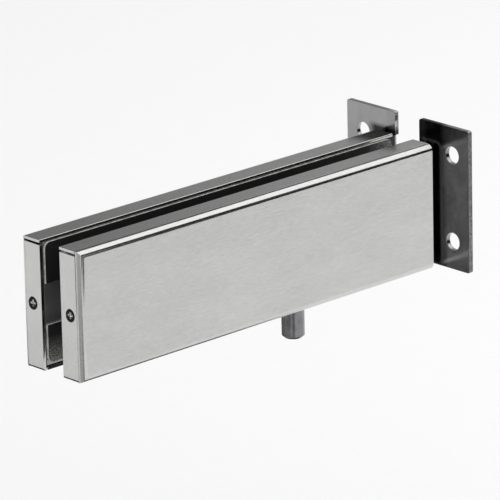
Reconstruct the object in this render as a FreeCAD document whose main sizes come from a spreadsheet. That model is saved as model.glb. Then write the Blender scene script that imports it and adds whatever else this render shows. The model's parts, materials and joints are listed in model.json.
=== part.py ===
import FreeCAD, Part
import os
import Sketcher

# Glass patch fitting for an over-panel: two clamp plates with wall flanges, two cover trays, a pivot pin.
# Frame: +X runs along the fitting to the wall, -Y to the front cover, +Z up. The origin lies on the pin's
# axis, level with the underside of the covers. "Front" pieces lie at -Y and "rear" pieces at +Y.

# Driving dimensions in millimetres
SIZES = {
    "overall_length": 186.5,
    "pivot_to_wall": 65.0,
    "glass_thickness": 10.0,
    "gasket_thickness": 1.2,
    "fit_clearance": 0.02,
    # Cover trays
    "cover_height": 51.0,
    "cover_depth": 10.8,
    "cover_sheet": 1.2,
    "cover_bend_radius": 2.8,
    "cover_end_gap": 2.5,
    "lip_clearance": 0.5,
    "corner_slit": 0.8,
    "corner_slit_overrun": 0.6,
    # Clamp plates with their wall flanges
    "plate_thickness": 2.0,
    "plate_clearance": 0.3,
    "plate_bend_radius": 3.0,
    "flange_height": 57.5,
    "flange_reach": 33.4,
    "flange_inset": 0.4,
    "flange_corner_radius": 1.0,
    "wall_hole_diameter": 7.0,
    "wall_hole_spread": 49.0,
    "wall_hole_pitch": 35.0,
    "web_end_gap": 1.0,
    # Tapped lug at the free end of each clamp plate
    "lug_length": 6.0,
    "lug_height": 14.0,
    "lug_clearance": 0.5,
    # Gasket strips above and below the screw channel
    "channel_height": 16.0,
    "gasket_top_margin": 0.1,
    "gasket_foot_margin": 1.2,
    "gasket_wall_gap": 5.5,
    "gasket_corner_radius": 2.5,
    "gasket_block_gap": 0.5,
    # Pivot block and pin
    "block_length": 40.0,
    "block_top_gap": 1.0,
    "block_chamfer": 1.5,
    "pin_diameter": 9.0,
    "pin_projection": 16.0,
    "pin_end_chamfer": 1.0,
    "shank_diameter": 8.0,
    "shank_length": 22.0,
    "shank_end_gap": 0.5,
    "lock_screw_diameter": 5.0,
    "lock_screw_level": 10.5,
    "lock_screw_recess": 1.0,
    "lock_screw_socket": 2.5,
    "lock_screw_socket_depth": 2.5,
    # Clamp screws, their nuts and sleeves
    "clamp_screw_diameter": 6.0,
    "clamp_screw_length": 22.0,
    "clamp_head_diameter": 10.0,
    "clamp_head_height": 6.0,
    "clamp_head_chamfer": 0.6,
    "clamp_socket": 5.0,
    "clamp_socket_depth": 3.0,
    "clamp_hole_clearance": 0.6,
    "block_screw_offset": 13.0,
    "free_screw_inset": 33.5,
    "wall_screw_offset": 40.0,
    "nut_across_flats": 10.0,
    "nut_height": 5.0,
    "sleeve_diameter": 10.0,
    "sleeve_end_clearance": 0.2,
    # Cover screws
    "cover_screw_diameter": 3.0,
    "cover_screw_length": 8.0,
    "cover_screw_head": 5.0,
    "cover_screw_sink": 0.1,
    "cover_screw_recess": 2.6,
    "cover_screw_recess_arm": 0.8,
    "cover_screw_recess_depth": 1.1,
    "cover_screw_offset": 2.2,
    "cover_hole_clearance": 0.2,
    # Spring clips and their rivets
    "clip_thickness": 0.8,
    "clip_width": 10.0,
    "clip_arm": 5.0,
    "clip_bend_radius": 1.6,
    "clip_clearance": 0.2,
    "clip_to_wall": 12.0,
    "rivet_diameter": 3.0,
    "rivet_head_diameter": 6.0,
    "rivet_head_height": 1.2,
    "rivet_foot_diameter": 5.0,
    "rivet_foot_height": 0.8,
}

# Places and lengths worked out from them, as expressions on the sheet
FREE_END = "(Sizes.pivot_to_wall - Sizes.overall_length)"
WALL_FACE = "Sizes.pivot_to_wall"
FLANGE_FACE = "(Sizes.pivot_to_wall - Sizes.plate_thickness)"
MID_HEIGHT = "(Sizes.cover_height / 2)"
GLASS_FACE = "(Sizes.glass_thickness / 2)"
WEB_INNER = f"({GLASS_FACE} + Sizes.gasket_thickness)"
WEB_OUTER = f"({WEB_INNER} + Sizes.plate_thickness)"
WEB_BOTTOM = "(Sizes.cover_sheet + Sizes.plate_clearance)"
WEB_TOP = "(Sizes.cover_height - Sizes.cover_sheet - Sizes.plate_clearance)"
COVER_LENGTH = "(Sizes.overall_length - Sizes.plate_thickness - Sizes.cover_end_gap)"
COVER_LIP = f"({GLASS_FACE} + Sizes.lip_clearance)"
COVER_INSIDE = f"({COVER_LIP} + Sizes.cover_depth - Sizes.cover_sheet)"
COVER_SCREW_REACH = f"({WEB_OUTER} + Sizes.cover_screw_offset)"
WEB_END = f"({FREE_END} + Sizes.cover_sheet + Sizes.web_end_gap)"
CHANNEL_BOTTOM = f"({MID_HEIGHT} - Sizes.channel_height / 2)"
CHANNEL_TOP = f"({MID_HEIGHT} + Sizes.channel_height / 2)"
FLANGE_TOP = f"({WEB_BOTTOM} + Sizes.flange_height)"
FLANGE_MIDDLE = f"({WEB_BOTTOM} + Sizes.flange_height / 2)"
CLIP_MIDDLE = "(Sizes.pivot_to_wall - Sizes.clip_to_wall)"
CLAMP_HOLE = "(Sizes.clamp_screw_diameter + Sizes.clamp_hole_clearance)"
CLAMP_PLACES = (
    f"{FREE_END} + Sizes.free_screw_inset",
    "-Sizes.block_screw_offset",
    "Sizes.block_screw_offset",
    "Sizes.wall_screw_offset",
)
SLEEVE_PLACES = (CLAMP_PLACES[0], CLAMP_PLACES[-1])

X_AXIS = FreeCAD.Vector(1, 0, 0)
Y_AXIS = FreeCAD.Vector(0, 1, 0)
SIDES = {"front": -1, "rear": 1}
TOUCH = 1e-4

doc = FreeCAD.newDocument("patch_fitting")
sheet = doc.addObject("Spreadsheet::Sheet", "Sizes")
for row, (alias, length) in enumerate(SIZES.items(), start=1):
    sheet.set(f"A{row}", alias)
    sheet.set(f"B{row}", str(length))
    sheet.setAlias(f"B{row}", alias)
doc.recompute()


def number(rule):
    """The present value of an expression on the sheet."""
    return float(sheet.evalExpression(rule))


def new_body(name):
    body = doc.addObject("PartDesign::Body", name)
    body.Label = name
    return body


def place(body, x="0", y="0", z="0", axis=X_AXIS, angle=0):
    """Turns a body about an axis and binds its origin to three expressions."""
    body.Placement = FreeCAD.Placement(FreeCAD.Vector(), FreeCAD.Rotation(axis, angle))
    for direction, rule in zip("xyz", (x, y, z)):
        body.setExpression(f"Placement.Base.{direction}", rule)


def new_sketch(body, name, role, lift="0"):
    """An empty sketch on one of the body's own planes, lifted along the plane's normal."""
    sketch = body.newObject("Sketcher::SketchObject", f"{body.Name}_{name}_sketch")
    plane = next(item for item in body.Origin.OriginFeatures if item.Role == role)
    sketch.AttachmentSupport = [(plane, "")]
    sketch.MapMode = "FlatFace"
    sketch.setExpression("AttachmentOffset.Base.z", lift)
    return sketch


def bind(sketch, kind, *where, rule):
    """Adds a dimension to a sketch and ties it to an expression."""
    index = sketch.addConstraint(Sketcher.Constraint(kind, *where, number(rule)))
    sketch.setExpression(f"Constraints[{index}]", rule)


def outline(sketch, *corners):
    """Draws a closed outline of straight lines through corners given as pairs of expressions."""
    first = sketch.GeometryCount
    spots = [FreeCAD.Vector(number(u), number(v), 0) for u, v in corners]
    for start, end in zip(spots, spots[1:] + spots[:1]):
        sketch.addGeometry(Part.LineSegment(start, end))
    for step, (u, v) in enumerate(corners):
        line = first + step
        following = first + (step + 1) % len(corners)
        sketch.addConstraint(Sketcher.Constraint("Coincident", line, 2, following, 1))
        bind(sketch, "DistanceX", -1, 1, line, 1, rule=u)
        bind(sketch, "DistanceY", -1, 1, line, 1, rule=v)


def rectangle(sketch, left, bottom, right, top):
    outline(sketch, (left, bottom), (right, bottom), (right, top), (left, top))


def disc(sketch, u, v, diameter):
    centre = FreeCAD.Vector(number(u), number(v), 0)
    circle = sketch.addGeometry(Part.Circle(centre, FreeCAD.Vector(0, 0, 1), number(diameter) / 2))
    bind(sketch, "DistanceX", -1, 1, circle, 3, rule=u)
    bind(sketch, "DistanceY", -1, 1, circle, 3, rule=v)
    bind(sketch, "Diameter", circle, rule=diameter)


def hexagon(sketch, across_flats):
    """Draws a regular hexagon round the sketch's origin."""
    corners = []
    for turn in range(0, 360, 60):
        reach = f"{across_flats} / sqrt(3)"
        corners.append((f"{reach} * cos({turn} deg)", f"{reach} * sin({turn} deg)"))
    outline(sketch, *corners)


def cross(sketch, span, arm):
    """Draws an upright cross round the sketch's origin."""
    far = f"{span} / 2"
    near = f"{arm} / 2"
    quarter = ((far, near), (near, near), (near, far))
    corners = list(quarter)
    corners += [(f"-{u}", v) for u, v in reversed(quarter)]
    corners += [(f"-{u}", f"-{v}") for u, v in quarter]
    corners += [(u, f"-{v}") for u, v in reversed(quarter)]
    outline(sketch, *corners)


def pad(sketch, length, both_ways=False):
    """Pads a sketch along its normal, or half each way."""
    body = sketch.getParentGeoFeatureGroup()
    feature = body.newObject("PartDesign::Pad", sketch.Name.replace("_sketch", "_pad"))
    feature.Profile = sketch
    feature.setExpression("Length", length)
    if both_ways:
        feature.SideType = "Symmetric"
    doc.recompute()
    return feature


def pocket(sketch, length=None, along_normal=False):
    """Cuts a sketch against its normal, or along it; without a length, through everything."""
    body = sketch.getParentGeoFeatureGroup()
    doc.recompute()
    before = body.Shape.Volume
    feature = body.newObject("PartDesign::Pocket", sketch.Name.replace("_sketch", "_cut"))
    feature.Profile = sketch
    feature.Reversed = along_normal
    if length:
        feature.setExpression("Length", length)
    else:
        feature.Type = "ThroughAll"
    doc.recompute()
    if body.Shape.Volume > before - TOUCH:
        raise ValueError(f"{feature.Name} removes nothing")
    return feature


def turn_profile(body, *corners):
    """Revolves a half section, given as radius and height, round the body's upright axis."""
    sketch = new_sketch(body, "turned", "XZ_Plane")
    outline(sketch, *corners)
    feature = body.newObject("PartDesign::Revolution", f"{body.Name}_turned")
    feature.Profile = sketch
    feature.ReferenceAxis = (sketch, ["V_Axis"])
    feature.Angle = 360
    doc.recompute()
    return feature


def edges_at(shape, spots):
    """Names of the edges that pass through the given spots."""
    names = []
    for spot in spots:
        vertex = Part.Vertex(*[number(rule) for rule in spot])
        distances = [edge.distToShape(vertex)[0] for edge in shape.Edges]
        nearest = min(distances)
        if nearest > TOUCH:
            raise ValueError(f"no edge passes through {spot}")
        names.append(f"Edge{distances.index(nearest) + 1}")
    return names


def dress_edges(body, kind, name, rule, *spots):
    """Rounds or chamfers the edges of a body that pass through the given spots."""
    base = body.Tip
    feature = body.newObject(f"PartDesign::{kind}", f"{body.Name}_{name}")
    feature.Base = (base, edges_at(base.Shape, spots))
    feature.setExpression("Radius" if kind == "Fillet" else "Size", rule)
    doc.recompute()
    return feature


def middle(low, high):
    return f"({low} + {high}) / 2"


def cover(name):
    """Front cover, a folded sheet tray: face, top, foot and free-end flanges, open to the glass and wall.

    In the body the lip lies at y = 0 and the face at -y.
    """
    body = new_body(name)
    face = "-Sizes.cover_depth"
    blank = new_sketch(body, "blank", "XZ_Plane")
    rectangle(blank, "0", "0", COVER_LENGTH, "Sizes.cover_height")
    pad(blank, "Sizes.cover_depth")
    dress_edges(
        body, "Fillet", "bends", "Sizes.cover_bend_radius",
        (f"{COVER_LENGTH} / 2", face, "Sizes.cover_height"),
        (f"{COVER_LENGTH} / 2", face, "0"),
        ("0", face, MID_HEIGHT),
    )
    hollow_tray(body)
    cut_corner_slits(body)
    drill_cover_end(body)
    place(body, FREE_END, f"-{COVER_LIP}")
    return body


def hollow_tray(body):
    """Leaves the sheet's thickness, with the lip side and the wall end open."""
    base = body.Tip
    inside = FreeCAD.Vector(number(COVER_LENGTH), 0, 0)
    open_faces = []
    for index, face in enumerate(base.Shape.Faces, start=1):
        box = face.BoundBox
        at_lip = box.YLength < TOUCH and abs(box.YMax - inside.y) < TOUCH
        at_wall_end = box.XLength < TOUCH and abs(box.XMax - inside.x) < TOUCH
        if at_lip or at_wall_end:
            open_faces.append(f"Face{index}")
    shell = body.newObject("PartDesign::Thickness", f"{body.Name}_shell")
    shell.Base = (base, open_faces)
    shell.setExpression("Value", "Sizes.cover_sheet")
    shell.Reversed = True
    doc.recompute()


def cut_corner_slits(body):
    """Slits that part the end flange from the top and foot flanges, run a little into the face's bend.

    At the top the end flange stops under the top flange. At the foot it laps over the foot flange's end.
    """
    inner_end = "-(Sizes.cover_depth - Sizes.cover_bend_radius + Sizes.corner_slit_overrun)"
    slit_top = "(Sizes.cover_height - Sizes.cover_sheet)"
    under_top = new_sketch(body, "top_slit", "YZ_Plane")
    rectangle(under_top, inner_end, f"{slit_top} - Sizes.corner_slit", "0", slit_top)
    pocket(under_top, "Sizes.cover_bend_radius", along_normal=True)
    behind_flange = new_sketch(body, "foot_slit", "XY_Plane")
    slit_end = "(Sizes.cover_sheet + Sizes.corner_slit)"
    rectangle(behind_flange, "Sizes.cover_sheet", inner_end, slit_end, "0")
    pocket(behind_flange, "Sizes.cover_bend_radius", along_normal=True)


def drill_cover_end(body):
    """Countersunk hole for the cover screw in the end flange."""
    across = f"-({COVER_SCREW_REACH} - {COVER_LIP})"
    hole = "(Sizes.cover_screw_diameter + Sizes.cover_hole_clearance)"
    sketch = new_sketch(body, "end_hole", "YZ_Plane")
    disc(sketch, across, MID_HEIGHT, hole)
    pocket(sketch, "Sizes.cover_bend_radius", along_normal=True)
    rim = ("0", f"{across} + {hole} / 2", MID_HEIGHT)
    sink = f"(Sizes.cover_screw_head - {hole}) / 2 + Sizes.cover_screw_sink"
    dress_edges(body, "Chamfer", "countersink", sink, rim)


def clamp_plate(name):
    """Rear clamp plate: a flat web with a flange bent out at the wall."""
    body = new_body(name)
    profile = new_sketch(body, "profile", "XY_Plane", WEB_BOTTOM)
    outline(
        profile,
        (WEB_END, WEB_INNER),
        (WALL_FACE, WEB_INNER),
        (WALL_FACE, "Sizes.flange_reach"),
        (FLANGE_FACE, "Sizes.flange_reach"),
        (FLANGE_FACE, WEB_OUTER),
        (WEB_END, WEB_OUTER),
    )
    pad(profile, f"{WEB_TOP} - {WEB_BOTTOM}")
    dress_edges(
        body, "Fillet", "wall_bend_outside", "Sizes.plate_bend_radius",
        (WALL_FACE, WEB_INNER, MID_HEIGHT),
    )
    dress_edges(
        body, "Fillet", "wall_bend_inside", "Sizes.plate_bend_radius - Sizes.plate_thickness",
        (FLANGE_FACE, WEB_OUTER, MID_HEIGHT),
    )
    raise_flange(body)
    drill_plate(body)
    return body


def raise_flange(body):
    """The flange stands taller than the web, and its free corners are rounded."""
    inner_edge = f"({WEB_INNER} + Sizes.flange_inset)"
    ear = new_sketch(body, "ear", "XY_Plane", WEB_TOP)
    rectangle(ear, FLANGE_FACE, inner_edge, WALL_FACE, "Sizes.flange_reach")
    pad(ear, f"{FLANGE_TOP} - {WEB_TOP}")
    across = middle(FLANGE_FACE, WALL_FACE)
    dress_edges(
        body, "Fillet", "flange_corners", "Sizes.flange_corner_radius",
        (across, "Sizes.flange_reach", WEB_BOTTOM),
        (across, "Sizes.flange_reach", FLANGE_TOP),
        (across, inner_edge, FLANGE_TOP),
    )


def drill_plate(body):
    """Clamp screw and rivet holes in the web, wall screw holes in the flange."""
    web_holes = new_sketch(body, "web_holes", "XZ_Plane")
    for along in CLAMP_PLACES:
        disc(web_holes, along, MID_HEIGHT, CLAMP_HOLE)
    disc(web_holes, CLIP_MIDDLE, MID_HEIGHT, "Sizes.rivet_diameter + 2 * Sizes.fit_clearance")
    pocket(web_holes)
    wall_holes = new_sketch(body, "wall_holes", "YZ_Plane", FLANGE_FACE)
    for sign in "-+":
        level = f"{FLANGE_MIDDLE} {sign} Sizes.wall_hole_pitch / 2"
        disc(wall_holes, "Sizes.wall_hole_spread / 2", level, "Sizes.wall_hole_diameter")
    pocket(wall_holes, "Sizes.plate_thickness", along_normal=True)


def mirrored_twin(name, source):
    """The handed twin of a piece, on the other side of the glass."""
    twin = doc.addObject("Part::Mirroring", name)
    twin.Label = name
    twin.Source = source
    twin.Base = FreeCAD.Vector()
    twin.Normal = Y_AXIS
    doc.recompute()
    return twin


def screw_lug(name, side):
    """Tapped block welded to the web's outer face, which takes the cover screw."""
    body = new_body(name)
    block = new_sketch(body, "block", "XY_Plane")
    tip = f"({COVER_INSIDE} - Sizes.lug_clearance - {WEB_OUTER})"
    rectangle(block, "0", "0", "Sizes.lug_length", tip)
    pad(block, "Sizes.lug_height", both_ways=True)
    thread = new_sketch(body, "thread", "YZ_Plane")
    bore = "Sizes.cover_screw_diameter + 2 * Sizes.fit_clearance"
    disc(thread, "Sizes.cover_screw_offset", "0", bore)
    pocket(thread, along_normal=True)
    place(body, WEB_END, f"{side} * {WEB_OUTER}", MID_HEIGHT, X_AXIS, 180 if side < 0 else 0)
    return body


def gasket(name, side, start, bottom, end, top, rounded):
    """Flat strip between the glass and the web, with the named outer corners rounded."""
    body = new_body(name)
    strip = new_sketch(body, "strip", "XZ_Plane")
    rectangle(strip, start, bottom, end, top)
    pad(strip, "Sizes.gasket_thickness")
    across = "-Sizes.gasket_thickness / 2"
    spots = [(along, across, level) for along, level in rounded]
    dress_edges(body, "Fillet", "corners", "Sizes.gasket_corner_radius", *spots)
    place(body, y=f"-{GLASS_FACE}" if side < 0 else WEB_INNER)
    return body


def gaskets():
    """Three strips on each plate: one above the screw channel, one below it each side of the block."""
    top = f"({WEB_TOP} - Sizes.gasket_top_margin)"
    foot = f"({WEB_BOTTOM} + Sizes.gasket_foot_margin)"
    wall_end = "(Sizes.pivot_to_wall - Sizes.gasket_wall_gap)"
    beside_block = "(Sizes.block_length / 2 + Sizes.gasket_block_gap)"
    strips = []
    for place_name, side in SIDES.items():
        upper = ((WEB_END, top), (wall_end, top))
        strips.append(gasket(f"{place_name}_top_gasket", side, WEB_END, CHANNEL_TOP, wall_end, top, upper))
        strips.append(
            gasket(
                f"{place_name}_foot_gasket", side, WEB_END, foot, f"-{beside_block}", CHANNEL_BOTTOM,
                ((WEB_END, foot),),
            )
        )
        strips.append(
            gasket(
                f"{place_name}_wall_gasket", side, beside_block, foot, wall_end, CHANNEL_BOTTOM,
                ((wall_end, foot),),
            )
        )
    return strips


def pivot_block():
    """Steel block in the notch of the glass, clamped between the webs, bored from below for the pin."""
    body = new_body("pivot_block")
    half = "Sizes.block_length / 2"
    top = f"({CHANNEL_TOP} - Sizes.block_top_gap)"
    side_view = new_sketch(body, "side", "XZ_Plane")
    rectangle(side_view, f"-{half}", WEB_BOTTOM, half, top)
    pad(side_view, f"2 * {WEB_INNER}", both_ways=True)
    dress_edges(
        body, "Chamfer", "top_corners", "Sizes.block_chamfer",
        (f"-{half}", "0", top),
        (half, "0", top),
    )
    bore = new_sketch(body, "pin_bore", "XY_Plane", WEB_BOTTOM)
    disc(bore, "0", "0", "Sizes.shank_diameter + 2 * Sizes.fit_clearance")
    pocket(bore, "Sizes.shank_length + Sizes.shank_end_gap", along_normal=True)
    for name, sign in (("free_side_hole", "-"), ("wall_side_hole", "")):
        crossing = new_sketch(body, name, "XZ_Plane", f"-{WEB_INNER}")
        disc(crossing, f"{sign}Sizes.block_screw_offset", MID_HEIGHT, CLAMP_HOLE)
        pocket(crossing, f"2 * {WEB_INNER}", along_normal=True)
    thread = new_sketch(body, "lock_thread", "YZ_Plane", f"-{half}")
    level = f"{WEB_BOTTOM} + Sizes.lock_screw_level"
    disc(thread, "0", level, "Sizes.lock_screw_diameter + 2 * Sizes.fit_clearance")
    pocket(thread, half, along_normal=True)
    return body


def pivot_pin():
    """Turned pin: the journal's shoulder seats under the block, the shank goes up into it."""
    body = new_body("pivot_pin")
    journal = "Sizes.pin_diameter / 2"
    shank = "Sizes.shank_diameter / 2"
    tip = "-Sizes.pin_projection"
    top = f"({WEB_BOTTOM} + Sizes.shank_length)"
    turn_profile(
        body,
        ("0", tip), (journal, tip), (journal, WEB_BOTTOM), (shank, WEB_BOTTOM), (shank, top), ("0", top),
    )
    dress_edges(body, "Chamfer", "tip", "Sizes.pin_end_chamfer", (journal, "0", tip))
    return body


def cut_hex_socket(body, top, across_flats, depth):
    socket = new_sketch(body, "socket", "XY_Plane", top)
    hexagon(socket, across_flats)
    pocket(socket, depth)


def pin_lock_screw():
    """Grub screw in the end of the block that bears on the pin's shank."""
    body = new_body("pin_lock_screw")
    radius = "Sizes.lock_screw_diameter / 2"
    recess = "Sizes.lock_screw_recess"
    reach = f"(Sizes.block_length / 2 - {recess} - Sizes.shank_diameter / 2 - Sizes.fit_clearance)"
    turn_profile(body, ("0", f"-{reach}"), (radius, f"-{reach}"), (radius, "0"), ("0", "0"))
    cut_hex_socket(body, "0", "Sizes.lock_screw_socket", "Sizes.lock_screw_socket_depth")
    level = f"{WEB_BOTTOM} + Sizes.lock_screw_level"
    place(body, f"{recess} - Sizes.block_length / 2", "0", level, Y_AXIS, -90)
    return body


def clamp_screw(name, along):
    """Socket head screw with its head on the rear web."""
    body = new_body(name)
    head = "Sizes.clamp_head_diameter / 2"
    height = "Sizes.clamp_head_height"
    shank = "Sizes.clamp_screw_diameter / 2"
    foot = "-Sizes.clamp_screw_length"
    turn_profile(body, ("0", foot), (shank, foot), (shank, "0"), (head, "0"), (head, height), ("0", height))
    dress_edges(body, "Chamfer", "head_edge", "Sizes.clamp_head_chamfer", (head, "0", height))
    cut_hex_socket(body, height, "Sizes.clamp_socket", "Sizes.clamp_socket_depth")
    place(body, along, WEB_OUTER, MID_HEIGHT, X_AXIS, -90)
    return body


def clamp_nut(name, along):
    """Hexagon nut on the front web."""
    body = new_body(name)
    prism = new_sketch(body, "prism", "XY_Plane")
    hexagon(prism, "Sizes.nut_across_flats")
    disc(prism, "0", "0", "Sizes.clamp_screw_diameter + 2 * Sizes.fit_clearance")
    pad(prism, "Sizes.nut_height")
    place(body, along, f"-{WEB_OUTER}", MID_HEIGHT, X_AXIS, 90)
    return body


def screw_sleeve(name, along):
    """Plastic tube round a clamp screw where it crosses the glass."""
    body = new_body(name)
    ring = new_sketch(body, "ring", "XY_Plane")
    disc(ring, "0", "0", "Sizes.sleeve_diameter")
    disc(ring, "0", "0", CLAMP_HOLE)
    pad(ring, f"2 * ({WEB_INNER} - Sizes.sleeve_end_clearance)", both_ways=True)
    place(body, along, "0", MID_HEIGHT, X_AXIS, 90)
    return body


def cover_screw(name, side):
    """Countersunk screw with a cross recess, through the cover's end into the tapped lug."""
    body = new_body(name)
    head = "Sizes.cover_screw_head / 2"
    shank = "Sizes.cover_screw_diameter / 2"
    cone = f"-({head} - {shank})"
    foot = "-Sizes.cover_screw_length"
    turn_profile(body, ("0", foot), (shank, foot), (shank, cone), (head, "0"), ("0", "0"))
    recess = new_sketch(body, "recess", "XY_Plane")
    cross(recess, "Sizes.cover_screw_recess", "Sizes.cover_screw_recess_arm")
    pocket(recess, "Sizes.cover_screw_recess_depth")
    along = f"{FREE_END} + Sizes.cover_screw_sink"
    place(body, along, f"{side} * {COVER_SCREW_REACH}", MID_HEIGHT, Y_AXIS, -90)
    return body


def cover_clip(name, side):
    """U-shaped spring strip on the web, whose two arms hold the cover's top and foot flanges."""
    body = new_body(name)
    gap = "(Sizes.cover_sheet + Sizes.clip_clearance)"
    low, high = gap, f"(Sizes.cover_height - {gap})"
    thick = "Sizes.clip_thickness"
    back = f"({WEB_OUTER} + {thick})"
    tip = f"({WEB_OUTER} + Sizes.clip_arm)"
    strip = new_sketch(body, "strip", "YZ_Plane")
    outline(
        strip,
        (WEB_OUTER, low), (tip, low), (tip, f"{low} + {thick}"), (back, f"{low} + {thick}"),
        (back, f"{high} - {thick}"), (tip, f"{high} - {thick}"), (tip, high), (WEB_OUTER, high),
    )
    pad(strip, "Sizes.clip_width", both_ways=True)
    dress_edges(
        body, "Fillet", "outside_bends", "Sizes.clip_bend_radius",
        ("0", WEB_OUTER, low), ("0", WEB_OUTER, high),
    )
    dress_edges(
        body, "Fillet", "inside_bends", f"Sizes.clip_bend_radius - {thick}",
        ("0", back, f"{low} + {thick}"), ("0", back, f"{high} - {thick}"),
    )
    hole = new_sketch(body, "rivet_hole", "XZ_Plane")
    disc(hole, "0", MID_HEIGHT, "Sizes.rivet_diameter + 2 * Sizes.fit_clearance")
    pocket(hole)
    height = "Sizes.cover_height" if side < 0 else "0"
    place(body, CLIP_MIDDLE, "0", height, X_AXIS, 180 if side < 0 else 0)
    return body


def clip_rivet(name, side):
    """Rivet through the clip and the web, with a low closed head in the screw channel."""
    body = new_body(name)
    shank = "Sizes.rivet_diameter / 2"
    head = "Sizes.rivet_head_diameter / 2"
    foot = "Sizes.rivet_foot_diameter / 2"
    grip = "-(Sizes.clip_thickness + Sizes.plate_thickness)"
    end = f"({grip} - Sizes.rivet_foot_height)"
    turn_profile(
        body,
        ("0", end), (foot, end), (foot, grip), (shank, grip),
        (shank, "0"), (head, "0"), (head, "Sizes.rivet_head_height"), ("0", "Sizes.rivet_head_height"),
    )
    place(body, CLIP_MIDDLE, f"{side} * ({WEB_OUTER} + Sizes.clip_thickness)", MID_HEIGHT, X_AXIS, -90 * side)
    return body


def build():
    """All sub-parts of the fitting, in the order of assembly."""
    rear_plate = clamp_plate("rear_clamp_plate")
    front_cover = cover("front_cover")
    pieces = [rear_plate, mirrored_twin("front_clamp_plate", rear_plate)]
    pieces += [front_cover, mirrored_twin("rear_cover", front_cover)]
    pieces += gaskets()
    pieces += [pivot_block(), pivot_pin(), pin_lock_screw()]
    for count, along in enumerate(CLAMP_PLACES, start=1):
        pieces.append(clamp_screw(f"clamp_screw_{count}", along))
        pieces.append(clamp_nut(f"clamp_nut_{count}", along))
    for count, along in enumerate(SLEEVE_PLACES, start=1):
        pieces.append(screw_sleeve(f"screw_sleeve_{count}", along))
    for name, side in SIDES.items():
        pieces.append(screw_lug(f"{name}_screw_lug", side))
        pieces.append(cover_screw(f"{name}_cover_screw", side))
        pieces.append(cover_clip(f"{name}_cover_clip", side))
        pieces.append(clip_rivet(f"{name}_clip_rivet", side))
    return pieces


def check(pieces):
    """Stops on any failed object and on any sub-part that isn't one sound solid."""
    for item in doc.Objects:
        if "Invalid" in item.State or "Error" in item.State:
            raise ValueError(f"{item.Label} did not build")
    for piece in pieces:
        if piece.Shape.isNull() or not piece.Shape.isValid() or len(piece.Shape.Solids) != 1:
            raise ValueError(f"{piece.Label} isn't one sound solid")


pieces = build()
doc.recompute()
check(pieces)
os.makedirs("parts", exist_ok=True)
for piece in pieces:
    piece.Shape.exportStep(f"parts/{piece.Label}.step")
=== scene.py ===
"""Looks of a glass patch fitting: finishes, deburred sheet edges, rubber, screws, studio and camera."""

import json
import math

import bmesh
import bpy
from bpy.props import FloatProperty, FloatVectorProperty, PointerProperty
from mathutils import Matrix, Vector


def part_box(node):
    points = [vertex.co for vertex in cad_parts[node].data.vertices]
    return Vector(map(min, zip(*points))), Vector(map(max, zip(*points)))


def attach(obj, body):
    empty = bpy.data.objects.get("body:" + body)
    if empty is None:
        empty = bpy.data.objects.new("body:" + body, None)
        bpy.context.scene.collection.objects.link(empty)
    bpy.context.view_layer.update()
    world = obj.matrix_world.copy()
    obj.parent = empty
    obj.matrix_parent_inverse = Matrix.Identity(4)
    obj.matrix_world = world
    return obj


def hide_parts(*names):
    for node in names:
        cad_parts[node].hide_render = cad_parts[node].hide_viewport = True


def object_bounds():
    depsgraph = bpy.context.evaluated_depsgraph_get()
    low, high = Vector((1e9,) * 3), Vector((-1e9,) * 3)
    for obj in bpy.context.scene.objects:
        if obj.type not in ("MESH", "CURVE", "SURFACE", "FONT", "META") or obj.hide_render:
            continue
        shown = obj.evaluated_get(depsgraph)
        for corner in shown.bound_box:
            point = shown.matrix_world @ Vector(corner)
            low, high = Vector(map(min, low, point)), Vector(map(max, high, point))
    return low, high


bl_info = {
    "name": "Glass patch fitting",
    "version": (1, 1, 0),
    "blender": (4, 5, 0),
    "location": "3D View > Sidebar > Patch fitting",
    "description": "Finishes a folded-sheet patch fitting for glass doors and sets it in a plain studio",
    "category": "Object",
}

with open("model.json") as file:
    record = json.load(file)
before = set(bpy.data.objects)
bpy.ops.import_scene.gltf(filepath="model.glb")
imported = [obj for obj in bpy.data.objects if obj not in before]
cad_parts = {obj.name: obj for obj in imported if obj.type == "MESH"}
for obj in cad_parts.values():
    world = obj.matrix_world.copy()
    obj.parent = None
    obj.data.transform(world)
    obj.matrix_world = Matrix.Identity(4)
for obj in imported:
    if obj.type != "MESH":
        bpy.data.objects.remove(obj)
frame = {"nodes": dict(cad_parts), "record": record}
CAD_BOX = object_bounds()
MM = 0.001
SIDES = ("front", "rear")
SHARP = math.radians(40)
# Vertices closer to a plane than this lie in it.
TOUCH = 0.05 * MM

# Shares of the edge break that a sheet's edges get, and what tells those edges apart.
LIP_SHARE = 0.67
EDGE_SHARE = 0.3
LIP_LENGTH = 20 * MM
SHORT_CHORD = 0.5 * MM
# The zone where the short chords of a sheet's arcs stay sharp: how far it reaches to the front and rear,
# its lowest point and its highest.
COVER_ARCS = (17 * MM, -1 * MM, 52 * MM)
PLATE_ARCS = (9.3 * MM, 49.4 * MM, 49.6 * MM)
# The foot lip's cut face has its middle below this, as the cover sheet is 1.2 mm thick.
SHEARED_HEIGHT = 1.3 * MM

# The cover screw's recess lies within this reach, across and down from the head's face. What is deeper
# than RECESS_FILLED comes up to RECESS_FLOOR, and faces deeper than HEAD_FACE are bare.
RECESS_REACH = 1.4 * MM
RECESS_FILLED = 0.9 * MM
RECESS_FLOOR = 0.45 * MM
HEAD_FACE = 0.02 * MM


def linear_rgb(code):
    """Turns an sRGB hex code into linear red, green and blue."""
    channels = [int(code[place : place + 2], 16) / 255 for place in (1, 3, 5)]
    return tuple(c / 12.92 if c <= 0.04045 else ((c + 0.055) / 1.055) ** 2.4 for c in channels)


def colour(name, description, code):
    """A colour that a user can change, with its default as an sRGB hex code."""
    return FloatVectorProperty(
        name=name, description=description, default=linear_rgb(code), subtype="COLOR", min=0, max=1
    )


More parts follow.
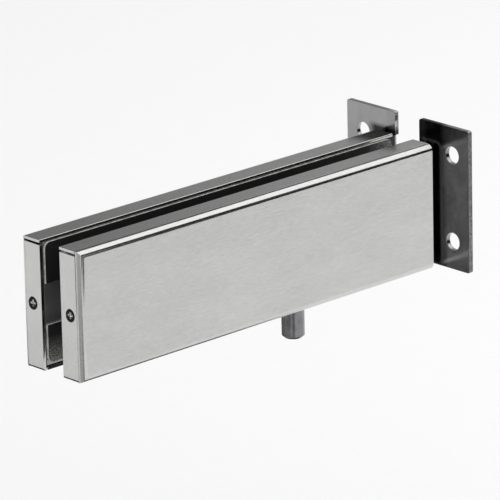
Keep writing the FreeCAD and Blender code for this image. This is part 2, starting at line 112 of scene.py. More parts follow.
class PatchFittingSettings(bpy.types.PropertyGroup):
    """Sizes, angles and colours that a user of the fitting would change."""

    camera_azimuth: FloatProperty(
        name="Camera azimuth",
        description="Angle of the camera round the fitting, from straight in front of the front cover",
        default=math.radians(-42.749),
        subtype="ANGLE",
    )
    camera_elevation: FloatProperty(
        name="Camera elevation",
        description="Height of the camera as an angle",
        default=math.radians(18.233),
        subtype="ANGLE",
    )
    camera_roll: FloatProperty(
        name="Camera roll",
        description="Tilt of the camera about its own line of sight",
        default=math.radians(-1.342),
        subtype="ANGLE",
    )
    camera_distance: FloatProperty(
        name="Camera distance",
        description="From the aimed point to the lens",
        default=1.8823,
        unit="LENGTH",
    )
    camera_lens: FloatProperty(
        name="Focal length",
        description="Long lens that keeps the fitting's edges almost parallel",
        default=357.82,
        subtype="DISTANCE_CAMERA",
    )
    camera_aim: FloatVectorProperty(
        name="Aimed point",
        description="The point that the camera looks at",
        default=(-0.02487, -0.00349, 0.02584),
        subtype="XYZ",
        unit="LENGTH",
    )
    floor_drop: FloatProperty(
        name="Floor below the fitting",
        description="From the pin's tip down to the studio floor, as the fitting hangs on its flanges",
        default=0.13,
        unit="LENGTH",
    )
    softbox_level: FloatProperty(
        name="Softbox level",
        description="Brightness of the softbox where the metal mirrors it, with white paper at 1",
        default=1.35,
    )
    room_level: FloatProperty(
        name="Room light level",
        description="Even light from all round on matt surfaces",
        default=0.85,
    )
    edge_break: FloatProperty(
        name="Edge break",
        description="Width of the widest rounding that shearing and deburring leave on a sheet edge",
        default=0.45 * MM,
        unit="LENGTH",
    )
    rubber_edge: FloatProperty(
        name="Rubber edge",
        description="Width of the rounding on the gasket strips",
        default=0.2 * MM,
        unit="LENGTH",
    )
    small_edge: FloatProperty(
        name="Fastener edge",
        description="Width of the rounding on the pin, the block and the small fasteners",
        default=0.08 * MM,
        unit="LENGTH",
    )
    steel_colour: colour("Satin stainless", "Colour of the ground cover sheet", "#D0D0CF")
    plate_colour: colour(
        "Mill-finish stainless", "Colour of the clamp plates and their wall flanges", "#9E9E9F"
    )
    # This colour paints the shade and dark reflection under the covers' free-end feet.
    sheared_colour: colour(
        "Sheared edge", "Colour of the sheared foot of the covers' free ends", "#2E2E2F"
    )
    pin_colour: colour("Hardened pin steel", "Colour of the turned pivot pin", "#8A8A8C")
    rubber_colour: colour("Gasket rubber", "Colour of the black sheet rubber", "#1C1C1C")
    # This colour is talc and also paints the highlight on the rubber's cut edges and ends.
    talc_colour: colour("Talc", "Colour of the talc on the cut edges of the rubber", "#E2E2DE")
    zinc_colour: colour("Zinc plating", "Colour of the plated fasteners and the pivot block", "#B4B6BA")
    oxide_colour: colour("Black oxide", "Colour of the blackened screws", "#1E1E1F")
    # This colour paints the glint in the cover screws' recess.
    bare_colour: colour(
        "Bare screw steel", "Colour of the recess where the driver wore the oxide off", "#E4E4E6"
    )
    spring_colour: colour("Spring steel", "Colour of the rolled clip strip", "#8E9094")
    sleeve_colour: colour("Natural polyamide", "Colour of the screw sleeves", "#E6E5DE")
    floor_colour: colour("Studio floor", "Colour of the matt painted floor", "#FAFAFA")
    near_card_colour: colour(
        "Near card", "Colour of the cards mirrored by the flange and the pin", "#5E5E5E"
    )
    far_card_colour: colour(
        "Far card", "Colour of the card mirrored by the covers' free-end bends", "#B4B4B4"
    )
    corner_card_colour: colour(
        "Corner card", "Colour of the card between the far card and the face card", "#BEBEBE"
    )
    face_card_colour: colour(
        "Face card", "Colour of the card mirrored by the front cover's face", "#EDEDED"
    )
    flag_colour: colour(
        "Black flag", "Colour of the flag mirrored by the front cover's top bend", "#191919"
    )


def settings():
    """The sizes, angles and colours that the user has set."""
    return bpy.context.scene.patch_fitting


def add_node(tree, kind, inputs=None, **attributes):
    """Adds a node with its settings; an input given as a socket is linked, anything else is set."""
    node = tree.nodes.new(kind)
    for name, value in attributes.items():
        setattr(node, name, value)
    for key, value in (inputs or {}).items():
        if isinstance(value, bpy.types.NodeSocket):
            tree.links.new(value, node.inputs[key])
        else:
            node.inputs[key].default_value = value
    return node


def new_material(name):
    """A material with an empty node tree."""
    material = bpy.data.materials.new(name)
    material.use_nodes = True
    material.node_tree.nodes.clear()
    return material


def grain(tree, size_mm, low, high, contrast=0.4, detail=3.0):
    """A value from low to high that varies over the surface in grains of a size along X, Y and Z."""
    place = add_node(tree, "ShaderNodeTexCoord").outputs["Object"]
    scale = [1 / (size * MM) for size in size_mm]
    grid = add_node(tree, "ShaderNodeMapping", {"Vector": place, "Scale": scale}).outputs[0]
    noise = {"Vector": grid, "Scale": 1.0, "Detail": detail, "Roughness": 0.6}
    cloud = add_node(tree, "ShaderNodeTexNoise", noise)
    span = {
        "Value": cloud.outputs["Fac"],
        "From Min": 0.5 - contrast / 2,
        "From Max": 0.5 + contrast / 2,
        "To Min": low,
        "To Max": high,
    }
    return add_node(tree, "ShaderNodeMapRange", span).outputs["Result"]


def ramp_along(tree, output, axis, start, end, both_ways=False):
    """From 0 to 1 between two values of a point's place or facing along an axis.

    With both_ways the value counts without its sign, so that front and rear, or up and down, get the same.
    """
    point = add_node(tree, "ShaderNodeTexCoord").outputs[output]
    share = add_node(tree, "ShaderNodeSeparateXYZ", {"Vector": point}).outputs[axis]
    if both_ways:
        share = add_node(tree, "ShaderNodeMath", {0: share}, operation="ABSOLUTE").outputs[0]
    span = {"Value": share, "From Min": start, "From Max": end, "To Min": 0.0, "To Max": 1.0}
    return add_node(tree, "ShaderNodeMapRange", span).outputs["Result"]


def finish_surface(material, hue, shade, relief, relief_mm, **inputs):
    """Tints a colour by a varying shade, adds relief and ends the material in one Principled shader."""
    tree = material.node_tree
    tinted = add_node(tree, "ShaderNodeVectorMath", {0: hue, "Scale": shade}, operation="SCALE")
    bump = {"Height": relief, "Distance": relief_mm * MM, "Strength": 0.5}
    raised = add_node(tree, "ShaderNodeBump", bump)
    sockets = {name.replace("_", " "): value for name, value in inputs.items()}
    sockets.update({"Base Color": tinted.outputs["Vector"], "Normal": raised.outputs["Normal"]})
    shader = add_node(tree, "ShaderNodeBsdfPrincipled", sockets)
    add_node(tree, "ShaderNodeOutputMaterial", {"Surface": shader.outputs["BSDF"]})
    return material


def satin_ground_stainless(hue):
    """Stainless sheet ground along its length with a fine belt: clear reflections under faint streaks."""
    material = new_material("satin_ground_stainless")
    tree = material.node_tree
    # The belt's 240 grit leaves lines of 0.06 mm, drawn 0.5 mm wide so that they show.
    streaks = grain(tree, (2.5, 0.5, 0.5), 0.0, 1.0, detail=5.0)
    rub = grain(tree, (30.0, 9.0, 9.0), 0.87, 0.93, detail=2.0)
    shade = add_node(
        tree, "ShaderNodeMath", {0: streaks, 1: 0.15, 2: rub}, operation="MULTIPLY_ADD"
    ).outputs[0]
    gloss = grain(tree, (5.0, 0.5, 0.5), 0.17, 0.23, detail=4.0)
    return finish_surface(material, hue, shade, streaks, 0.001, Metallic=1.0, Roughness=gloss)


def sheared_sheet_edge(hue):
    """The foot of the covers' free ends, painted dark for the shade and dark reflection under it, with a
    torn grain and without the belt's shine.
    """
    material = new_material("sheared_sheet_edge")
    tree = material.node_tree
    torn = grain(tree, (0.5, 0.5, 0.5), 0.4, 1.6)
    gloss = grain(tree, (0.5, 0.5, 0.5), 0.4, 0.6)
    return finish_surface(material, hue, torn, torn, 0.03, Metallic=1.0, Roughness=gloss)


def crook_shade(tree):
    """1 over the plates, 0.1 in the crook of the bend: painted shade for the shadow and dark reflections
    that fall there.
    """
    # At the rear the painted shade lies only below 52 mm, and neither plate is shaded on its wall side.
    front = ramp_along(tree, "Object", "Y", 0.0, -2.0 * MM)
    low = ramp_along(tree, "Object", "Z", 53.0 * MM, 51.0 * MM)
    dark = add_node(tree, "ShaderNodeMath", {0: front, 1: low}, operation="MAXIMUM").outputs[0]
    limits = (
        ramp_along(tree, "Object", "Y", 22.0 * MM, 18.0 * MM, both_ways=True),
        ramp_along(tree, "Object", "X", 50.0 * MM, 57.0 * MM),
        ramp_along(tree, "Normal", "X", 0.3, 0.0),
    )
    for limit in limits:
        dark = add_node(tree, "ShaderNodeMath", {0: dark, 1: limit}, operation="MULTIPLY").outputs[0]
    return add_node(
        tree, "ShaderNodeMath", {0: dark, 1: -0.9, 2: 1.0}, operation="MULTIPLY_ADD"
    ).outputs[0]


def mill_finish_stainless(hue):
    """Rolled and pickled plate: dull grey with faint blotches, rougher where it was sheared, and brighter
    on the edges that face up or down, partly bare metal and partly painted highlight.
    """
    material = new_material("mill_finish_stainless")
    tree = material.node_tree
    pores = grain(tree, (0.5, 0.5, 0.5), 0.0, 1.0)
    blotches = grain(tree, (6.0, 6.0, 9.0), 0.86, 1.1)
    # Sheared edges: what faces up or down, and the flanges' outer ends, 33.4 mm from the middle.
    level_edge = ramp_along(tree, "Normal", "Z", 0.6, 0.9, both_ways=True)
    facing_out = ramp_along(tree, "Normal", "Y", 0.6, 0.9, both_ways=True)
    far_out = ramp_along(tree, "Object", "Y", 32.6 * MM, 33.2 * MM, both_ways=True)
    outer_edge = add_node(
        tree, "ShaderNodeMath", {0: facing_out, 1: far_out}, operation="MULTIPLY"
    ).outputs[0]
    sheared = add_node(
        tree, "ShaderNodeMath", {0: level_edge, 1: outer_edge}, operation="MAXIMUM"
    ).outputs[0]
    torn = grain(tree, (0.9, 0.9, 0.9), -0.55, 0.05, contrast=0.25)
    torn = add_node(
        tree, "ShaderNodeMath", {0: outer_edge, 1: torn, 2: blotches}, operation="MULTIPLY_ADD"
    ).outputs[0]
    # Edges that face up or down are painted brighter, partly for their bare sheared metal and partly as
    # painted highlight of the light they catch; the blotches and the torn outer ends are the plate's own.
    brighter = add_node(
        tree, "ShaderNodeMath", {0: level_edge, 1: 0.6, 2: torn}, operation="MULTIPLY_ADD"
    ).outputs[0]
    # The painted shade in the crook of the bend darkens the plate's colour.
    shade = add_node(
        tree, "ShaderNodeMath", {0: brighter, 1: crook_shade(tree)}, operation="MULTIPLY"
    ).outputs[0]
    gloss = grain(tree, (6.0, 6.0, 9.0), 0.14, 0.22)
    dulled = add_node(
        tree, "ShaderNodeMath", {0: sheared, 1: 0.25, 2: gloss}, operation="MULTIPLY_ADD"
    ).outputs[0]
    # The webs between the gaskets keep a thin scale that scatters light; the outside is bare metal.
    scale = ramp_along(tree, "Object", "Y", 11.0 * MM, 9.5 * MM, both_ways=True)
    bare = add_node(
        tree, "ShaderNodeMath", {0: scale, 1: -0.28, 2: 1.0}, operation="MULTIPLY_ADD"
    ).outputs[0]
    return finish_surface(material, hue, shade, pores, 0.004, Metallic=bare, Roughness=dulled)


def turned_pin_steel(hue):
    """Hardened steel turned on a lathe: fine rings round the pin under a dark temper colour."""
    material = new_material("turned_pin_steel")
    tree = material.node_tree
    # The tool's feed is 0.1 mm, drawn as rings 0.4 mm high so that they show.
    rings = grain(tree, (40.0, 40.0, 0.4), 0.0, 1.0, detail=2.0)
    stains = grain(tree, (3.0, 3.0, 4.0), 0.85, 1.15)
    gloss = grain(tree, (40.0, 40.0, 0.4), 0.16, 0.28, detail=2.0)
    return finish_surface(material, hue, stains, rings, 0.004, Metallic=1.0, Roughness=gloss)


def zinc_plated_steel(hue):
    """Bright zinc over machined steel: bluish, with a soft crystalline cloud."""
    material = new_material("zinc_plated_steel")
    tree = material.node_tree
    crystals = grain(tree, (0.8, 0.8, 0.8), 0.9, 1.08, detail=4.0)
    gloss = grain(tree, (1.5, 1.5, 1.5), 0.24, 0.38)
    return finish_surface(material, hue, crystals, crystals, 0.01, Metallic=1.0, Roughness=gloss)


def black_oxide_steel(hue):
    """Blackened screw steel: deep black with a slight oily gloss and paler worn spots."""
    material = new_material("black_oxide_steel")
    tree = material.node_tree
    wear = grain(tree, (0.6, 0.6, 0.6), 0.6, 1.6)
    gloss = grain(tree, (0.6, 0.6, 0.6), 0.24, 0.42)
    return finish_surface(material, hue, wear, wear, 0.006, Metallic=1.0, Roughness=gloss)


def bare_recess_steel(hue):
    """A screw's recess painted pale in streaks: a painted glint."""
    material = new_material("bare_recess_steel")
    tree = material.node_tree
    scratches = grain(tree, (0.7, 0.7, 0.7), 0.15, 1.2, contrast=0.2)
    gloss = grain(tree, (0.3, 0.3, 0.3), 0.3, 0.45)
    return finish_surface(material, hue, scratches, scratches, 0.01, Metallic=0.2, Roughness=gloss)


def rolled_spring_steel(hue):
    """Cold-rolled spring strip: darker than the covers, with rolling lines along the clip."""
    material = new_material("rolled_spring_steel")
    tree = material.node_tree
    lines = grain(tree, (0.3, 8.0, 8.0), 0.9, 1.1)
    gloss = grain(tree, (0.3, 8.0, 8.0), 0.25, 0.4)
    return finish_surface(material, hue, lines, lines, 0.006, Metallic=1.0, Roughness=gloss)


def black_sheet_rubber(hue, talc_hue):
    """Cut sheet rubber: matt black with pressed pores; its cut edges and ends pale with talc and with
    painted highlight.
    """
    material = new_material("black_sheet_rubber")
    tree = material.node_tree
    pores = grain(tree, (0.5, 0.5, 0.5), 0.0, 1.0)
    # The cut edges, which don't face front or rear, are painted pale: talc and painted highlight.
    broad_side = ramp_along(tree, "Normal", "Y", 0.75, 0.5, both_ways=True)
    rubbed = grain(tree, (2.5, 2.5, 2.5), 0.55, 1.0, contrast=0.3)
    edge = add_node(tree, "ShaderNodeMath", {0: broad_side, 1: rubbed}, operation="MULTIPLY").outputs[0]
    # Talc from the cutting table, with painted speckled highlight, lies in grains at the wall end and low
    # at the free end. They are drawn 0.5 mm wide so that they show.
    specks = grain(tree, (0.5, 0.5, 0.5), 0.0, 0.42, contrast=0.12, detail=2.0)
    wall_end = ramp_along(tree, "Object", "X", 46.0 * MM, 60.0 * MM)
    free_end = ramp_along(tree, "Object", "X", -60.0 * MM, -112.0 * MM)
    low = ramp_along(tree, "Object", "Z", 13.0 * MM, 3.0 * MM)
    foot = add_node(tree, "ShaderNodeMath", {0: free_end, 1: low}, operation="MULTIPLY").outputs[0]
    ends = add_node(tree, "ShaderNodeMath", {0: wall_end, 1: foot}, operation="MAXIMUM").outputs[0]
    dusted = add_node(tree, "ShaderNodeMath", {0: specks, 1: ends}, operation="MULTIPLY").outputs[0]
    share = add_node(tree, "ShaderNodeMath", {0: edge, 1: dusted}, operation="MAXIMUM").outputs[0]
    # Sockets 6, 7 and 2 are the two colours of a Mix node and their mixture.
    colours = {"Factor": share, 6: (*hue, 1.0), 7: (*talc_hue, 1.0)}
    mixed = add_node(tree, "ShaderNodeMix", colours, data_type="RGBA").outputs[2]
    shade = grain(tree, (2.0, 2.0, 2.0), 0.85, 1.15)
    gloss = grain(tree, (0.5, 0.5, 0.5), 0.5, 0.7)
    return finish_surface(
        material, mixed, shade, pores, 0.02, Roughness=gloss, Specular_IOR_Level=0.3
    )


def moulded_polyamide(hue):
    """Natural polyamide tube: milky and slightly waxy, with light passing a little way in."""
    material = new_material("moulded_polyamide")
    tree = material.node_tree
    flow = grain(tree, (2.0, 2.0, 2.0), 0.95, 1.03, detail=2.0)
    gloss = grain(tree, (2.0, 2.0, 2.0), 0.35, 0.5)
    reach = (1 * MM, 1 * MM, 0.8 * MM)
    return finish_surface(
        material, hue, flow, flow, 0.01, Roughness=gloss, Subsurface_Weight=0.15, Subsurface_Radius=reach
    )


def matt_floor_paint(hue):
    """Matt white studio floor with a barely visible roller texture."""
    material = new_material("matt_floor_paint")
    tree = material.node_tree
    roller = grain(tree, (4.0, 4.0, 4.0), 0.99, 1.0, detail=2.0)
    return finish_surface(material, hue, roller, roller, 0.02, Roughness=0.9, Specular_IOR_Level=0.1)


def grey_card(name, hue):
    """Matt grey studio card with a faint paper tooth."""
    material = new_material(name)
    tree = material.node_tree
    tooth = grain(tree, (1.0, 1.0, 1.0), 0.97, 1.0)
    return finish_surface(material, hue, tooth, tooth, 0.02, Roughness=0.9, Specular_IOR_Level=0.1)


def give(piece, *materials):
    """Puts materials in a piece's slots in place of those it has."""
    piece.data.materials.clear()
    for material in materials:
        piece.data.materials.append(material)


def made(name):
    """A finish made by the first operator."""
    return bpy.data.materials[name]


def merged_copy(node):
    """A copy of a CAD node's surface with its loose triangles joined into whole smooth-shaded faces."""
    form = bmesh.new()
    form.from_mesh(frame["nodes"][node].data)
    bmesh.ops.remove_doubles(form, verts=form.verts, dist=0.002 * MM)
    bmesh.ops.dissolve_limit(
        form,
        angle_limit=math.radians(0.5),
        use_dissolve_boundaries=False,
        verts=form.verts,
        edges=form.edges,
    )
    bmesh.ops.recalc_face_normals(form, faces=form.faces)
    for face in form.faces:
        face.smooth = True
    return form


def make_piece(name, form, slot, *materials):
    """Turns a bmesh into an object that rides with the fitting."""
    mesh = bpy.data.meshes.new(name)
    for material in materials:
        mesh.materials.append(material)
    form.to_mesh(mesh)
    form.free()
    piece = bpy.data.objects.new(name, mesh)
    bpy.context.collection.objects.link(piece)
    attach(piece, "root")
    return piece


def weigh_edges(form, share_of):
    """Gives every sharp edge of a form its share of the rounding's width; those without one stay sharp."""
    weights = form.edges.layers.float.new("bevel_weight_edge")
    for edge in form.edges:
        if edge.is_manifold and edge.calc_face_angle() > SHARP:
            edge[weights] = share_of(edge)
            edge.smooth = edge[weights] > 0


def break_edges(piece, width, segments=2, limit="ANGLE"):
    """Rounds the sharp edges of a piece by a small width and keeps its flat faces flat to the eye."""
    rounding = piece.modifiers.new("edge_break", "BEVEL")
    rounding.width = width
    rounding.segments = segments
    rounding.limit_method = limit
    rounding.angle_limit = SHARP
    rounding.use_clamp_overlap = False
    flat_faces = piece.modifiers.new("flat_faces", "WEIGHTED_NORMAL")
    flat_faces.mode = "FACE_AREA"
    flat_faces.weight = 90
    flat_faces.keep_sharp = True


def dress(node, name, slot, width, *finishes, segments=2):
    """Replaces a CAD node by a copy with rounded edges."""
    piece = make_piece(name, merged_copy(node), slot, *[made(finish) for finish in finishes])
    break_edges(piece, width, segments)
    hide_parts(node)


class FITTING_OT_finishes(bpy.types.Operator):
    """Makes the finishes and puts them on every node of the fitting"""

    bl_idname = "fitting.finishes"
    bl_label = "Finishes"

    def execute(self, context):
        chosen = settings()
        by_slot = {
            "cover_sheet": satin_ground_stainless(chosen.steel_colour),
            "plate_steel": mill_finish_stainless(chosen.plate_colour),
            "gasket_rubber": black_sheet_rubber(chosen.rubber_colour, chosen.talc_colour),
            "pin_steel": turned_pin_steel(chosen.pin_colour),
            "block_steel": zinc_plated_steel(chosen.zinc_colour),
            "fastener_black": black_oxide_steel(chosen.oxide_colour),
            "spring_steel": rolled_spring_steel(chosen.spring_colour),
            "sleeve_plastic": moulded_polyamide(chosen.sleeve_colour),
        }
        by_slot["fastener_zinc"] = by_slot["block_steel"]
        bare_recess_steel(chosen.bare_colour)
        sheared_sheet_edge(chosen.sheared_colour)
        for part in frame["record"]["subparts"]:
            give(frame["nodes"][part["node"]], by_slot[part["material_slot"]])
        return {"FINISHED"}


class FITTING_OT_sheet_edges(bpy.types.Operator):
    """Gives the covers and clamp plates deburred edges"""

    bl_idname = "fitting.sheet_edges"
    bl_label = "Sheet edges"

    @staticmethod
    def share(edge, high, arcs):
        """Wide at the covers' top lips, none on the short chords of arcs in one zone, narrow elsewhere."""
        start, end = (vert.co for vert in edge.verts)
        reach, bottom, top = arcs
        lowest, highest = sorted((start.z, end.z))
        within = bottom < lowest and highest < top and max(abs(start.y), abs(end.y)) < reach
        if within and edge.calc_length() < SHORT_CHORD:
            return 0.0
        if lowest > high[2] - TOUCH and abs(start.x - end.x) > LIP_LENGTH:
            return LIP_SHARE
        return EDGE_SHARE

    @staticmethod
    def shear_foot(form, low, width):
        """Rounds the sheared foot of the free end and marks it for its painted shade."""
        foot = [
            edge
            for edge in form.edges
            if all(vert.co.z < low[2] + TOUCH and vert.co.x < low[0] + TOUCH for vert in edge.verts)
        ]
        rounded = bmesh.ops.bevel(
            form,
            geom=foot,
            offset=width,
            offset_type="OFFSET",
            segments=3,
            profile=0.5,
            affect="EDGES",
            material=-1,
            clamp_overlap=False,
        )
        for face in rounded["faces"]:
            face.smooth = True
        lip = [
            face
            for face in form.faces
            if face.calc_center_median().z < SHEARED_HEIGHT and abs(face.normal.y) > 0.9
        ]
        # These faces get the painted shade of the foot.
        for face in (*rounded["faces"], *lip):
            face.material_index = 1

    def execute(self, context):
        width = settings().edge_break
        for side in SIDES:
            node = f"{side}_cover"
            low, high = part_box(node)
            cover = merged_copy(node)
            self.shear_foot(cover, low, width * 2)
            weigh_edges(cover, lambda edge: self.share(edge, high, COVER_ARCS))
            finishes = (made("satin_ground_stainless"), made("sheared_sheet_edge"))
            piece = make_piece(f"{side}_cover_sheet", cover, "cover_sheet", *finishes)
            break_edges(piece, width, limit="WEIGHT")
            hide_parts(node)

            node = f"{side}_clamp_plate"
            plate = merged_copy(node)
            weigh_edges(plate, lambda edge: self.share(edge, high, PLATE_ARCS))
            finish = made("mill_finish_stainless")
            piece = make_piece(f"{side}_clamp_sheet", plate, "plate_steel", finish)
            break_edges(piece, width, limit="WEIGHT")
            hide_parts(node)
        # The front cover's face doesn't mirror the flange that stands beside it.
        bpy.data.objects["front_clamp_sheet"].visible_glossy = False
        return {"FINISHED"}


class FITTING_OT_gasket_strips(bpy.types.Operator):
    """Gives the gaskets softly rounded cut edges"""

    bl_idname = "fitting.gasket_strips"
    bl_label = "Gasket strips"

    def execute(self, context):
        width = settings().rubber_edge
        for side in SIDES:
            for part in ("top", "foot", "wall"):
                node, name = f"{side}_{part}_gasket", f"{side}_{part}_rubber_strip"
                dress(node, name, "gasket_rubber", width, "black_sheet_rubber", segments=3)
        return {"FINISHED"}


class FITTING_OT_pin_and_block(bpy.types.Operator):
    """Gives the pivot pin, its block and the screw sleeves smooth turned faces and broken edges"""

    bl_idname = "fitting.pin_and_block"
    bl_label = "Pin and block"

    def execute(self, context):
        width = settings().small_edge
        dress("pivot_pin", "turned_pivot_pin", "pin_steel", width, "turned_pin_steel")
        dress("pivot_block", "milled_pivot_block", "block_steel", width, "zinc_plated_steel")
        for count in (1, 2):
            name = f"moulded_sleeve_{count}"
            dress(f"screw_sleeve_{count}", name, "sleeve_plastic", width, "moulded_polyamide")
        return {"FINISHED"}


class FITTING_OT_cover_screws(bpy.types.Operator):
    """Gives the cover screws worn edges and a recess with a painted glint"""

    bl_idname = "fitting.cover_screws"
    bl_label = "Cover screws"

    def execute(self, context):
        for side in SIDES:
            node = f"{side}_cover_screw"
            low, high = (Vector(corner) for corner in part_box(node))
            middle = (low + high) / 2
            form = merged_copy(node)
            # The recess is drawn shallower than the driver needs, so that light reaches its floor.
            for vert in form.verts:
                across = math.hypot(vert.co.y - middle.y, vert.co.z - middle.z)
                depth = vert.co.x - low.x
                if across < RECESS_REACH and RECESS_FILLED < depth < RECESS_REACH:
                    vert.co.x = low.x + RECESS_FLOOR
            # Faces sunk in the recess get the painted glint.
            for face in form.faces:
                centre = face.calc_center_median()
                across = math.hypot(centre.y - middle.y, centre.z - middle.z)
                sunk = HEAD_FACE < centre.x - low.x < RECESS_REACH
                face.material_index = int(sunk and across < RECESS_REACH)
            finishes = (made("black_oxide_steel"), made("bare_recess_steel"))
            piece = make_piece(f"{side}_recessed_screw", form, "fastener_black", *finishes)
            break_edges(piece, settings().small_edge)
            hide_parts(node)
        return {"FINISHED"}


def camera_axes(azimuth, elevation, roll):
    """The camera's right, up and backward directions."""
    back = Vector(
        (
            math.sin(azimuth) * math.cos(elevation),
            -math.cos(azimuth) * math.cos(elevation),
            math.sin(elevation),
        )
    )
    right = (-back).cross(Vector((0, 0, 1))).normalized()
    up = right.cross(-back)
    level = Matrix((right, up, back)).transposed()
    return level @ Matrix.Rotation(roll, 3, "Z")


def place_camera(chosen):
    """The long lens that looks at the fitting as the photograph does."""
    camera = bpy.data.objects.new("photo_camera", bpy.data.cameras.new("photo_camera"))
    axes = camera_axes(chosen.camera_azimuth, chosen.camera_elevation, chosen.camera_roll)
    place = Vector(chosen.camera_aim) + axes.col[2] * chosen.camera_distance
    camera.matrix_world = Matrix.Translation(place) @ axes.to_4x4()
    camera.data.lens = chosen.camera_lens
    camera.data.sensor_width = 36.0
    camera.data.clip_end = 20.0
    bpy.context.collection.objects.link(camera)
    bpy.context.scene.camera = camera


def set_sheet(name, middle, half_size, material, upright=False, mirrored_only=True):
    """A flat sheet of the studio, lying level or standing along X."""
    board = bmesh.new()
    bmesh.ops.create_grid(board, x_segments=1, y_segments=1, size=1.0)
    bmesh.ops.scale(board, verts=board.verts, vec=(*half_size, 1.0))
    if upright:
        stand = Matrix.Rotation(math.radians(90), 4, "X")
        bmesh.ops.transform(board, matrix=stand, verts=board.verts)
    bmesh.ops.translate(board, verts=board.verts, vec=middle)
    mesh = bpy.data.meshes.new(name)
    board.to_mesh(mesh)
    board.free()
    sheet = bpy.data.objects.new(name, mesh)
    bpy.context.collection.objects.link(sheet)
    give(sheet, material)
    if mirrored_only:
        sheet.visible_camera = False
        sheet.visible_diffuse = False
        sheet.visible_shadow = False
        sheet.visible_transmission = False


def lay_floor(chosen):
    """The floor, and the cards and the flag that only the metal's reflections see."""
    level = CAD_BOX[0][2] - chosen.floor_drop
    floor = matt_floor_paint(chosen.floor_colour)
    set_sheet("studio_floor", (0, 0, level), (5.0, 5.0), floor, mirrored_only=False)
    near = grey_card("near_grey_card", chosen.near_card_colour)
    far = grey_card("far_grey_card", chosen.far_card_colour)
    light = grey_card("light_card", chosen.corner_card_colour)
    pale = grey_card("pale_card", chosen.face_card_colour)
    # Each card's middle and half its size, in metres along X and Y.
    cards = (
        ("camera_side_card", (-0.275, -0.345), (0.115, 0.115), near),
        ("left_card", (-0.38, 0.0), (0.08, 0.17), near),
        ("rear_card", (-0.13, 0.23), (0.20, 0.13), near),
        ("far_rear_card", (0.05, 0.43), (0.20, 0.07), near),
        ("under_card", (0.03, 0.03), (0.07, 0.07), near),
        ("free_end_card", (-0.60, -0.31), (0.20, 0.29), far),
        ("corner_card", (-0.17, -0.63), (0.23, 0.17), light),
        ("face_card", (0.32, -0.36), (0.30, 0.14), pale),
    )
    for name, place, half_size, card in cards:
        set_sheet(name, (*place, level + 2 * MM), half_size, card)
    # The flag stands past the face card and gives the top bend the dark line under its highlight.
    black = grey_card("black_card", chosen.flag_colour)
    set_sheet("horizon_flag", (0.615, -0.53, level + 0.255), (0.465, 0.225), black, upright=True)


def hang_softbox(chosen):
    """A long softbox high over the wall side, tilted so that the front cover's top bend mirrors it."""
    lamp = bpy.data.lights.new("softbox", "AREA")
    lamp.shape = "RECTANGLE"
    lamp.size, lamp.size_y = 1.6, 1.0
    lamp.energy = chosen.softbox_level * math.pi * lamp.size * lamp.size_y
    distance = 1.5
    away = Vector((0.645, -0.289, 0.709)).normalized()
    length = Vector((0.0, -0.926, -0.378))
    length = (length - away * length.dot(away)).normalized()
    axes = Matrix((length, away.cross(length), away)).transposed()
    box = bpy.data.objects.new("softbox", lamp)
    box.matrix_world = Matrix.Translation(away * distance) @ axes.to_4x4()
    bpy.context.collection.objects.link(box)


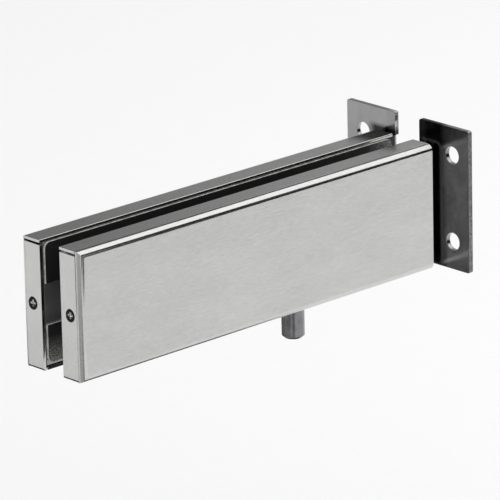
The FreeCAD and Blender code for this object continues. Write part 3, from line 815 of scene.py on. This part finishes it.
def paint_world(chosen):
    """Even room light on matt surfaces; the metal mirrors a white horizon under a dark room."""
    world = bpy.data.worlds.new("studio")
    world.use_nodes = True
    tree = world.node_tree
    tree.nodes.clear()
    direction = add_node(tree, "ShaderNodeTexCoord").outputs["Generated"]
    height = add_node(tree, "ShaderNodeSeparateXYZ", {"Vector": direction}).outputs["Z"]
    # White up to 6 degrees above the horizon, dark from 9 degrees up.
    horizon = {"Value": height, "From Min": 0.10, "From Max": 0.16, "To Min": 1.0, "To Max": 0.035}
    room = add_node(tree, "ShaderNodeMapRange", horizon).outputs["Result"]
    # A pale wall stands behind the wall side of the fitting, below the softbox.
    wall_side = Vector((0.85, 0.45, 0.27)).normalized()
    toward = add_node(
        tree, "ShaderNodeVectorMath", {0: direction, 1: wall_side}, operation="DOT_PRODUCT"
    ).outputs["Value"]
    spread = {"Value": toward, "From Min": 0.90, "From Max": 0.97, "To Min": 0.0, "To Max": 0.48}
    wall = add_node(tree, "ShaderNodeMapRange", spread).outputs["Result"]
    room = add_node(tree, "ShaderNodeMath", {0: room, 1: wall}, operation="MAXIMUM").outputs[0]
    rays = add_node(tree, "ShaderNodeLightPath").outputs
    reflected, passed = rays["Is Glossy Ray"], rays["Is Transmission Ray"]
    mirrored = add_node(
        tree, "ShaderNodeMath", {0: reflected, 1: passed}, operation="MAXIMUM"
    ).outputs[0]
    even = {"Color": (1, 1, 1, 1), "Strength": chosen.room_level}
    light = add_node(tree, "ShaderNodeBackground", even).outputs[0]
    seen = add_node(tree, "ShaderNodeBackground", {"Color": room, "Strength": 1.0}).outputs[0]
    backdrop = add_node(tree, "ShaderNodeBackground", {"Color": (1, 1, 1, 1), "Strength": 1.0}).outputs[0]
    lit = add_node(tree, "ShaderNodeMixShader", {0: mirrored, 1: light, 2: seen}).outputs[0]
    direct = rays["Is Camera Ray"]
    shown = add_node(tree, "ShaderNodeMixShader", {0: direct, 1: lit, 2: backdrop}).outputs[0]
    add_node(tree, "ShaderNodeOutputWorld", {"Surface": shown})
    bpy.context.scene.world = world


class FITTING_OT_studio(bpy.types.Operator):
    """Sets up the pale floor, the softbox, the world and the camera"""

    bl_idname = "fitting.studio"
    bl_label = "Studio"

    def execute(self, context):
        chosen = settings()
        place_camera(chosen)
        lay_floor(chosen)
        hang_softbox(chosen)
        paint_world(chosen)
        context.scene.view_settings.view_transform = "Standard"
        return {"FINISHED"}


class FITTING_PT_panel(bpy.types.Panel):
    """Lists the steps that dress the fitting"""

    bl_label = "Patch fitting"
    bl_idname = "FITTING_PT_panel"
    bl_space_type = "VIEW_3D"
    bl_region_type = "UI"
    bl_category = "Patch fitting"

    def draw(self, context):
        for step in STEPS:
            self.layout.operator(step.bl_idname)


STEPS = (
    FITTING_OT_finishes,
    FITTING_OT_sheet_edges,
    FITTING_OT_gasket_strips,
    FITTING_OT_pin_and_block,
    FITTING_OT_cover_screws,
    FITTING_OT_studio,
)
CLASSES = (PatchFittingSettings, *STEPS, FITTING_PT_panel)


def register():
    """Adds the settings, the steps and the panel to Blender."""
    for item in CLASSES:
        bpy.utils.register_class(item)
    bpy.types.Scene.patch_fitting = PointerProperty(type=PatchFittingSettings)


def unregister():
    """Takes them out again."""
    del bpy.types.Scene.patch_fitting
    for item in reversed(CLASSES):
        bpy.utils.unregister_class(item)


def main():
    """Runs every step in order."""
    register()
    for step in STEPS:
        group, name = step.bl_idname.split(".")
        getattr(getattr(bpy.ops, group), name)()


if __name__ == "__main__":
    main()
